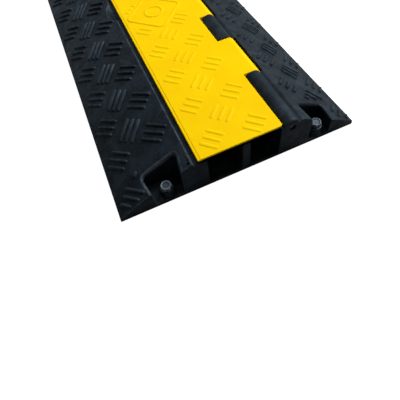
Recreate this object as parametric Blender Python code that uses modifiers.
"""Two-channel cable protector ramp: a rubber base with a hinged lid over its cable channels.

Metres, +Z up. X runs across the ramp with the hinge on the +X side, and Y runs along it.
The end with the connector pockets is at -Y, and the end with the tongues is at +Y.
"""

import math

import bmesh
import bpy
from mathutils import Matrix, Vector

# Whole ramp
WIDTH = 0.250
LENGTH = 1.000                      # of the body, without the tongues
TONGUE_REACH = 0.0215
Y_NEAR = -(LENGTH + TONGUE_REACH) / 2
Y_FAR = Y_NEAR + LENGTH
Y_TIP = Y_FAR + TONGUE_REACH
TOE_HEIGHT = 0.0045
TOE_LEAN = 0.0008
FLOOR = 0.0045

# Hinge
AXIS = Vector((0.0520, 0.0, 0.0340))
KNUCKLE_R = 0.0085                  # of the lid
ROD_R = 0.0025
ROD_BORE_R = 0.0029
ROD_INSET = 0.0020                  # from each end face
GROOVE_R = 0.0098                   # room round the lid's knuckles
LID_KNUCKLES = 8
END_BARREL = 0.075                  # the base's first and last barrels
GROOVE_LENGTH = 0.063
KNUCKLE_GAP = 0.0008

# Lid
LID_TOP = AXIS.z + KNUCKLE_R
LID_THICKNESS = 0.0044
LID_HALF_WIDTH = 0.0410
LID_END_GAP = 0.0005
UNDERCUT = 0.0028
LID_CORNER = 0.0020
LID_EDGE_FILLET = 0.0010
TOUCH_GAP = 0.0003

# Base section
LEDGE = LID_TOP - LID_THICKNESS - TOUCH_GAP
RIM_X = -0.0455
RIM_HEIGHT = 0.0412
LEFT_CROWN = 0.0026
RIGHT_CROWN = 0.0006
CHANNEL_LEFT = -0.0325
DIVIDER = (0.0015, 0.0095)
CHANNEL_RIGHT = 0.0402
BARREL_LEFT = 0.0427                # the base's barrels are flatter than the lid's knuckles
BARREL_CROWN_X = 0.0513
BARREL_CROWN_R = 0.0160
BARREL_RIGHT = 0.0592
VALLEY = (0.0602, 0.0389)           # between the barrels and the shoulder
SHOULDER_TOP = (0.0618, 0.0394)
RIM_FILLET = 0.0012
EDGE_FILLET = 0.0008
SHOULDER_FILLET = 0.0006
FLOOR_FILLET = 0.0015

# Finger scoops under the lid's free edge
SCOOP_SETBACK = 0.265
SCOOP_CENTRE = (-0.0440, 0.0440)
SCOOP_RADII = (0.0125, 0.0220, 0.0095)

# Connectors: centre of mouth, half widths at mouth and at back, depth
POCKETS = {
    "left": (-0.0732, 0.0148, 0.0182),
    "right": (0.0842, 0.0112, 0.0144),
}
POCKET_DEPTH = 0.0225
POCKET_FILLET = 0.0030
TONGUE_GAP = 0.0008                 # all round the tongue in its pocket
TONGUE_LIFT = 0.0005
TONGUE_CORNER = 0.0035
TONGUE_HOLE_R = 0.0077
POST_SETBACK = 0.0077
POST_FOOT_R = 0.0071
POST_TOP_R = 0.0060
POST_TOP = 0.0116
INSERT_R = 0.0045
INSERT_FOOT = 0.0033
INSERT_TOP = 0.0112
INSERT_BORE_R = 0.0033
WASHER_R = 0.0062
WASHER_THICKNESS = 0.0010
BOLT_R = 0.0030
BOLT_FOOT = 0.0050
HEAD_ACROSS_FLATS = 0.0100
HEAD_HEIGHT = 0.0042
DISH_R = 0.0036
DISH_DEPTH = 0.0012

ROUND_STEPS = 32
BORE_STEPS = 20
GROOVE_STEPS = 16
KNUCKLE_STEPS = 28
CROWN_STEPS = 8
SCOOP_STEPS = (24, 14)
BEYOND = 0.010                      # how far a cutter passes the surface that it opens


def clear_scene():
    for obj in list(bpy.data.objects):
        bpy.data.objects.remove(obj)


def new_collection(name):
    made = bpy.data.collections.new(name)
    bpy.context.scene.collection.children.link(made)
    return made


def new_material(name, colour, roughness, metallic=0.0):
    made = bpy.data.materials.new(name)
    made.use_nodes = True
    shader = made.node_tree.nodes["Principled BSDF"]
    shader.inputs["Base Color"].default_value = (*colour, 1.0)
    shader.inputs["Roughness"].default_value = roughness
    shader.inputs["Metallic"].default_value = metallic
    return made


def rounded(corners, steps=4):
    """The outline through (x, y, radius) corners, with an arc at each corner that has a radius."""
    points = []
    for index, (x, y, radius) in enumerate(corners):
        here = Vector((x, y))
        if not radius:
            points.append(here)
            continue
        before = (Vector(corners[index - 1][:2]) - here).normalized()
        after = (Vector(corners[(index + 1) % len(corners)][:2]) - here).normalized()
        half = before.angle(after) / 2
        centre = here + (before + after).normalized() * radius / math.sin(half)
        start = here + before * radius / math.tan(half) - centre
        sweep = start.angle_signed(here + after * radius / math.tan(half) - centre)
        for step in range(steps + 1):
            turned = start.copy()
            turned.rotate(Matrix.Rotation(-sweep * step / steps, 2))
            points.append(centre + turned)
    return [(point.x, point.y) for point in points]


def crowned(start, end, crown):
    """Corners along a slope from start to end that bulges by crown at its middle, without its ends."""
    corners = []
    for step in range(1, CROWN_STEPS):
        along = step / CROWN_STEPS
        bulge = crown * (1 - (2 * along - 1) ** 2)
        x = start[0] + (end[0] - start[0]) * along
        z = start[1] + (end[1] - start[1]) * along + bulge
        corners.append((x, z, 0))
    return corners


def arc(centre, radius, first, last, steps):
    """Corners on a circle, from one angle to another, in degrees."""
    corners = []
    for step in range(steps + 1):
        angle = math.radians(first + (last - first) * step / steps)
        corners.append((centre[0] + radius * math.cos(angle), centre[1] + radius * math.sin(angle), 0))
    return corners


def slab(name, outline, low, high, direction, collection):
    """A flat outline given thickness from low to high along Y or Z. Along Y it is drawn in X and Z."""
    curve = bpy.data.curves.new(name, "CURVE")
    curve.dimensions = "2D"
    curve.fill_mode = "BOTH"
    curve.extrude = (high - low) / 2
    spline = curve.splines.new("POLY")
    spline.points.add(len(outline) - 1)
    for point, (x, y) in zip(spline.points, outline):
        point.co = (x, y, 0, 1)
    spline.use_cyclic_u = True
    drawn = bpy.data.objects.new(name, curve)
    middle = (low + high) / 2
    if direction == "Y":
        drawn.rotation_euler = (math.pi / 2, 0, 0)
        drawn.location = (0, middle, 0)
    else:
        drawn.location = (0, 0, middle)
    collection.objects.link(drawn)
    bpy.context.view_layer.update()
    graph = bpy.context.evaluated_depsgraph_get()
    mesh = bpy.data.meshes.new_from_object(drawn.evaluated_get(graph))
    mesh.transform(drawn.matrix_world)
    bpy.data.objects.remove(drawn)
    shape = bmesh.new()
    shape.from_mesh(mesh)
    bmesh.ops.remove_doubles(shape, verts=shape.verts, dist=1e-6)
    bmesh.ops.recalc_face_normals(shape, faces=shape.faces)
    shape.to_mesh(mesh)
    shape.free()
    made = bpy.data.objects.new(name, mesh)
    collection.objects.link(made)
    return made


def cone(name, foot_r, top_r, length, place, collection, along="Z", steps=ROUND_STEPS):
    """A cone or cylinder whose foot is centred at place, along Z or Y."""
    mesh = bpy.data.meshes.new(name)
    shape = bmesh.new()
    bmesh.ops.create_cone(
        shape, cap_ends=True, segments=steps, radius1=foot_r, radius2=top_r, depth=length
    )
    bmesh.ops.translate(shape, verts=shape.verts, vec=(0, 0, length / 2))
    if along == "Y":
        bmesh.ops.rotate(shape, verts=shape.verts, matrix=Matrix.Rotation(-math.pi / 2, 3, "X"))
    shape.to_mesh(mesh)
    shape.free()
    made = bpy.data.objects.new(name, mesh)
    made.location = place
    collection.objects.link(made)
    return made


def turned(name, profile, place, collection):
    """A ring from a closed (radius, z) profile that runs down its outer side."""
    mesh = bpy.data.meshes.new(name)
    edges = [(index, (index + 1) % len(profile)) for index in range(len(profile))]
    mesh.from_pydata([(r, 0, z) for r, z in profile], edges, [])
    made = bpy.data.objects.new(name, mesh)
    made.location = place
    screw = made.modifiers.new("turn", "SCREW")
    screw.steps = ROUND_STEPS
    screw.render_steps = ROUND_STEPS
    screw.use_merge_vertices = True
    screw.merge_threshold = 1e-5
    collection.objects.link(made)
    return made


def boolean(obj, other, operation="DIFFERENCE"):
    """Cuts other from obj, or joins it on, and keeps other as a hidden helper."""
    step = obj.modifiers.new(other.name, "BOOLEAN")
    step.operation = operation
    step.object = other
    other.hide_render = True
    other.display_type = "WIRE"


def groove_spans():
    """The Y spans of the gaps between the base's barrels, where the lid's knuckles turn."""
    pitch = (LENGTH - 2 * END_BARREL - GROOVE_LENGTH) / (LID_KNUCKLES - 1)
    starts = [Y_NEAR + END_BARREL + pitch * index for index in range(LID_KNUCKLES)]
    return [(start, start + GROOVE_LENGTH) for start in starts]


def base_outline():
    """The section of the base through one of its hinge barrels, in X and Z."""
    half = WIDTH / 2
    left_toe = (-half + TOE_LEAN, TOE_HEIGHT)
    right_toe = (half - TOE_LEAN, TOE_HEIGHT)
    rim = (RIM_X, RIM_HEIGHT)
    corners = [(-half, 0, 0), (*left_toe, 0)]
    corners += crowned(left_toe, rim, LEFT_CROWN)
    corners += [(*rim, RIM_FILLET), (RIM_X, LEDGE, 0), (CHANNEL_LEFT, LEDGE, EDGE_FILLET)]
    corners += [(CHANNEL_LEFT, FLOOR, FLOOR_FILLET), (DIVIDER[0], FLOOR, FLOOR_FILLET)]
    corners += [(DIVIDER[0], LEDGE, EDGE_FILLET), (DIVIDER[1], LEDGE, EDGE_FILLET)]
    corners += [(DIVIDER[1], FLOOR, FLOOR_FILLET), (CHANNEL_RIGHT, FLOOR, FLOOR_FILLET)]
    corners += [(CHANNEL_RIGHT, LEDGE, 0)]
    corners += barrel_corners()
    corners += [(*VALLEY, 0), (*SHOULDER_TOP, SHOULDER_FILLET)]
    corners += crowned(SHOULDER_TOP, right_toe, RIGHT_CROWN)
    corners += [(*right_toe, 0), (half, 0, 0)]
    return rounded(corners)


def barrel_corners():
    """The top of a hinge barrel: an upright left side, and a shallow crown as high as the lid."""
    centre = (BARREL_CROWN_X, LID_TOP - BARREL_CROWN_R)
    first = math.degrees(math.acos((BARREL_LEFT - BARREL_CROWN_X) / BARREL_CROWN_R))
    last = math.degrees(math.acos((BARREL_RIGHT - BARREL_CROWN_X) / BARREL_CROWN_R))
    crown = arc(centre, BARREL_CROWN_R, first, last, CROWN_STEPS)
    left_x, left_z, _ = crown[0]
    return [(BARREL_LEFT, LEDGE, 0), (left_x, left_z, EDGE_FILLET), *crown[1:]]


def groove_outline():
    """Room for a lid knuckle: a half round under the axis, open upwards."""
    top = LID_TOP + BEYOND
    corners = [(AXIS.x - GROOVE_R, top, 0)]
    corners += arc((AXIS.x, AXIS.z), GROOVE_R, 180, 360, GROOVE_STEPS)
    corners += [(AXIS.x + GROOVE_R, top, 0)]
    return rounded(corners)


def dovetail(side):
    """The plan of a pocket, from BEYOND outside the near face to its back."""
    centre, mouth, back = POCKETS[side]
    front = mouth - (back - mouth) / POCKET_DEPTH * BEYOND
    return rounded(
        [
            (centre - front, Y_NEAR - BEYOND, 0),
            (centre - back, Y_NEAR + POCKET_DEPTH, POCKET_FILLET),
            (centre + back, Y_NEAR + POCKET_DEPTH, POCKET_FILLET),
            (centre + front, Y_NEAR - BEYOND, 0),
        ]
    )


def tongue_side(side, sign):
    """The plan of one side of a tongue, from its root to past its tip; sign is -1 on the left."""
    centre, mouth, back = POCKETS[side]
    root = mouth - TONGUE_GAP
    flare = (back - mouth) / POCKET_DEPTH
    widest = root + flare * (TONGUE_REACH - TONGUE_CORNER)
    tip = widest - TONGUE_CORNER
    return [
        (centre + sign * root, Y_FAR),
        (centre + sign * widest, Y_TIP - TONGUE_CORNER),
        (centre + sign * tip, Y_TIP),
        (centre + sign * tip, Y_TIP + BEYOND),
    ]


def cut_far_end(base, cutters):
    """Leaves only the tongues beyond the far face."""
    wide = WIDTH / 2 + BEYOND
    past = Y_TIP + BEYOND
    below = [(-wide, Y_FAR), (wide, Y_FAR), (wide, past), (-wide, past)]
    boolean(base, slab("cut_below_tongues", below, -BEYOND, FLOOR + TONGUE_LIFT, "Z", cutters))
    plans = {
        "left_of_tongues": [(-wide, past), (-wide, Y_FAR), *tongue_side("left", -1)],
        "between_tongues": [*reversed(tongue_side("left", 1)), *tongue_side("right", -1)],
        "right_of_tongues": [*reversed(tongue_side("right", 1)), (wide, Y_FAR), (wide, past)],
    }
    for name, plan in plans.items():
        boolean(base, slab(f"cut_{name}", plan, FLOOR / 2, LID_TOP + BEYOND, "Z", cutters))


def scoop(name, y, collection):
    mesh = bpy.data.meshes.new(name)
    shape = bmesh.new()
    around, upward = SCOOP_STEPS
    bmesh.ops.create_uvsphere(shape, u_segments=around, v_segments=upward, radius=1.0)
    bmesh.ops.scale(shape, verts=shape.verts, vec=SCOOP_RADII)
    shape.to_mesh(mesh)
    shape.free()
    made = bpy.data.objects.new(name, mesh)
    made.location = (SCOOP_CENTRE[0], y, SCOOP_CENTRE[1])
    collection.objects.link(made)
    return made


def rod_bore(name, collection):
    foot = (AXIS.x, Y_NEAR - BEYOND, AXIS.z)
    return cone(name, ROD_BORE_R, ROD_BORE_R, LENGTH + 2 * BEYOND, foot, collection, "Y", BORE_STEPS)


def make_base(parts, cutters):
    """The rubber moulding: both ramps, the channels, the hinge barrels, the pockets and the tongues."""
    base = slab("ramp_base", base_outline(), Y_NEAR, Y_TIP, "Y", parts)
    cut_far_end(base, cutters)
    for index, (start, end) in enumerate(groove_spans()):
        boolean(base, slab(f"cut_groove_{index + 1}", groove_outline(), start, end, "Y", cutters))
    for side, (centre, _, _) in POCKETS.items():
        boolean(base, slab(f"cut_{side}_pocket", dovetail(side), FLOOR, LID_TOP + BEYOND, "Z", cutters))
        foot = (centre, Y_NEAR + POST_SETBACK, FLOOR / 2)
        post = cone(f"{side}_post", POST_FOOT_R, POST_TOP_R, POST_TOP - FLOOR / 2, foot, cutters)
        boolean(base, post, "UNION")
        seat = (centre, Y_NEAR + POST_SETBACK, INSERT_FOOT - TOUCH_GAP)
        seat_r = INSERT_R + TOUCH_GAP
        boolean(base, cone(f"cut_{side}_insert_seat", seat_r, seat_r, POST_TOP, seat, cutters))
        hole = (centre, Y_FAR + POST_SETBACK, 0)
        boolean(base, cone(f"cut_{side}_tongue_hole", TONGUE_HOLE_R, TONGUE_HOLE_R, LID_TOP, hole, cutters))
    for name, y in (("near", Y_NEAR + SCOOP_SETBACK), ("far", Y_FAR - SCOOP_SETBACK)):
        boolean(base, scoop(f"cut_{name}_scoop", y, cutters))
    boolean(base, rod_bore("cut_base_bore", cutters))
    base.data.materials.append(new_material("black_rubber", (0.018, 0.021, 0.026), 0.62))
    return base


def lid_outline():
    """The section of the lid through one of its knuckles, in X and Z."""
    bottom = LID_TOP - LID_THICKNESS
    meet = math.degrees(math.asin((bottom - AXIS.z) / KNUCKLE_R))
    corners = [
        (-LID_HALF_WIDTH + UNDERCUT, bottom, 0),
        (-LID_HALF_WIDTH, bottom + UNDERCUT, 0),
        (-LID_HALF_WIDTH, LID_TOP, LID_EDGE_FILLET),
    ]
    corners += arc((AXIS.x, AXIS.z), KNUCKLE_R, 90, -180 - meet, KNUCKLE_STEPS)
    return rounded(corners)


def end_undercut(name, end, inward, collection):
    """A wedge that thins the lid's lower edge at one end; inward is +1 or -1 along Y."""
    bottom = LID_TOP - LID_THICKNESS
    mesh = bpy.data.meshes.new(name)
    shape = bmesh.new()
    bmesh.ops.create_cube(shape, size=1.0)
    side = 2 * UNDERCUT
    bmesh.ops.scale(shape, verts=shape.verts, vec=(WIDTH, side, side))
    bmesh.ops.rotate(shape, verts=shape.verts, matrix=Matrix.Rotation(math.pi / 4, 3, "X"))
    shape.to_mesh(mesh)
    shape.free()
    made = bpy.data.objects.new(name, mesh)
    reach = side / math.sqrt(2)
    # The rotated square's upper inward face crosses the lid's end at UNDERCUT above its bottom.
    made.location = (0, end - inward * (reach - UNDERCUT), bottom)
    collection.objects.link(made)
    return made


def make_lid(parts, cutters):
    """The yellow lid: a plate with knuckles that turn round the rod, between the base's barrels."""
    near, far = Y_NEAR + LID_END_GAP, Y_FAR - LID_END_GAP
    lid = slab("hinged_lid", lid_outline(), near, far, "Y", parts)
    lid.data.transform(Matrix.Translation(-AXIS))
    lid.location = AXIS
    spans = groove_spans()
    right = AXIS.x + KNUCKLE_R + BEYOND
    for index, ((_, start), (end, _)) in enumerate(zip(spans, spans[1:])):
        start, end = start - KNUCKLE_GAP, end + KNUCKLE_GAP
        plan = [(LID_HALF_WIDTH, start), (right, start), (right, end), (LID_HALF_WIDTH, end)]
        boolean(lid, slab(f"cut_lid_notch_{index + 1}", plan, 0, LID_TOP + BEYOND, "Z", cutters))
    # The notches at the two ends also take off the lid's corners.
    beyond_corner = LID_HALF_WIDTH - LID_CORNER - BEYOND
    ends = {"near": (near, spans[0][0] + KNUCKLE_GAP, 1), "far": (far, spans[-1][1] - KNUCKLE_GAP, -1)}
    for name, (lid_end, knuckle, inward) in ends.items():
        plan = [
            (LID_HALF_WIDTH, knuckle),
            (LID_HALF_WIDTH, lid_end + inward * LID_CORNER),
            (beyond_corner, lid_end - inward * BEYOND),
            (right, lid_end - inward * BEYOND),
            (right, knuckle),
        ]
        boolean(lid, slab(f"cut_lid_{name}_notch", plan, 0, LID_TOP + BEYOND, "Z", cutters))
    boolean(lid, end_undercut("cut_lid_near_edge", near, 1, cutters))
    boolean(lid, end_undercut("cut_lid_far_edge", far, -1, cutters))
    boolean(lid, rod_bore("cut_lid_bore", cutters))
    lid.data.materials.append(new_material("yellow_plastic", (0.94, 0.62, 0.005), 0.45))
    return lid


def make_rod(parts):
    """One steel rod through every barrel and knuckle."""
    foot = (AXIS.x, Y_NEAR + ROD_INSET, AXIS.z)
    rod = cone("hinge_rod", ROD_R, ROD_R, LENGTH - 2 * ROD_INSET, foot, parts, "Y", BORE_STEPS)
    rod.data.materials.append(new_material("rod_steel", (0.45, 0.45, 0.46), 0.35, 1.0))
    return rod


def make_connector(side, parts, cutters, materials):
    """A hex bolt with a dished head, its washer, and the threaded insert in the post."""
    centre = POCKETS[side][0]
    place = (centre, Y_NEAR + POST_SETBACK, 0)
    insert_ring = [
        (INSERT_R, INSERT_TOP),
        (INSERT_R, INSERT_FOOT),
        (INSERT_BORE_R, INSERT_FOOT),
        (INSERT_BORE_R, INSERT_TOP),
    ]
    insert = turned(f"{side}_connector_insert", insert_ring, place, parts)
    washer_foot = POST_TOP + TOUCH_GAP
    washer_top = washer_foot + WASHER_THICKNESS
    washer_ring = [
        (WASHER_R, washer_top),
        (WASHER_R, washer_foot),
        (INSERT_BORE_R, washer_foot),
        (INSERT_BORE_R, washer_top),
    ]
    washer = turned(f"{side}_connector_washer", washer_ring, place, parts)
    head_foot = washer_top + TOUCH_GAP
    corner_r = HEAD_ACROSS_FLATS / math.sqrt(3)
    head = (place[0], place[1], head_foot)
    bolt = cone(f"{side}_connector_bolt", corner_r, corner_r, HEAD_HEIGHT, head, parts, steps=6)
    foot = (place[0], place[1], BOLT_FOOT)
    shank_length = head_foot + HEAD_HEIGHT / 2 - BOLT_FOOT
    boolean(bolt, cone(f"{side}_bolt_shank", BOLT_R, BOLT_R, shank_length, foot, cutters), "UNION")
    dish = (place[0], place[1], head_foot + HEAD_HEIGHT - DISH_DEPTH)
    boolean(bolt, cone(f"cut_{side}_dish", DISH_R, DISH_R, BEYOND, dish, cutters))
    insert.data.materials.append(materials["brass"])
    washer.data.materials.append(materials["steel"])
    bolt.data.materials.append(materials["steel"])
    return bolt, washer, insert


def main():
    clear_scene()
    parts = new_collection("cable_protector_ramp")
    cutters = new_collection("cutters")
    made = [make_base(parts, cutters), make_lid(parts, cutters), make_rod(parts)]
    metals = {
        "steel": new_material("zinc_steel", (0.40, 0.43, 0.46), 0.38, 1.0),
        "brass": new_material("insert_brass", (0.62, 0.45, 0.18), 0.40, 1.0),
    }
    for side in POCKETS:
        made.extend(make_connector(side, parts, cutters, metals))
    for obj in made:
        obj.data.shade_smooth()
        obj.data.set_sharp_from_angle(angle=math.radians(30))


main()
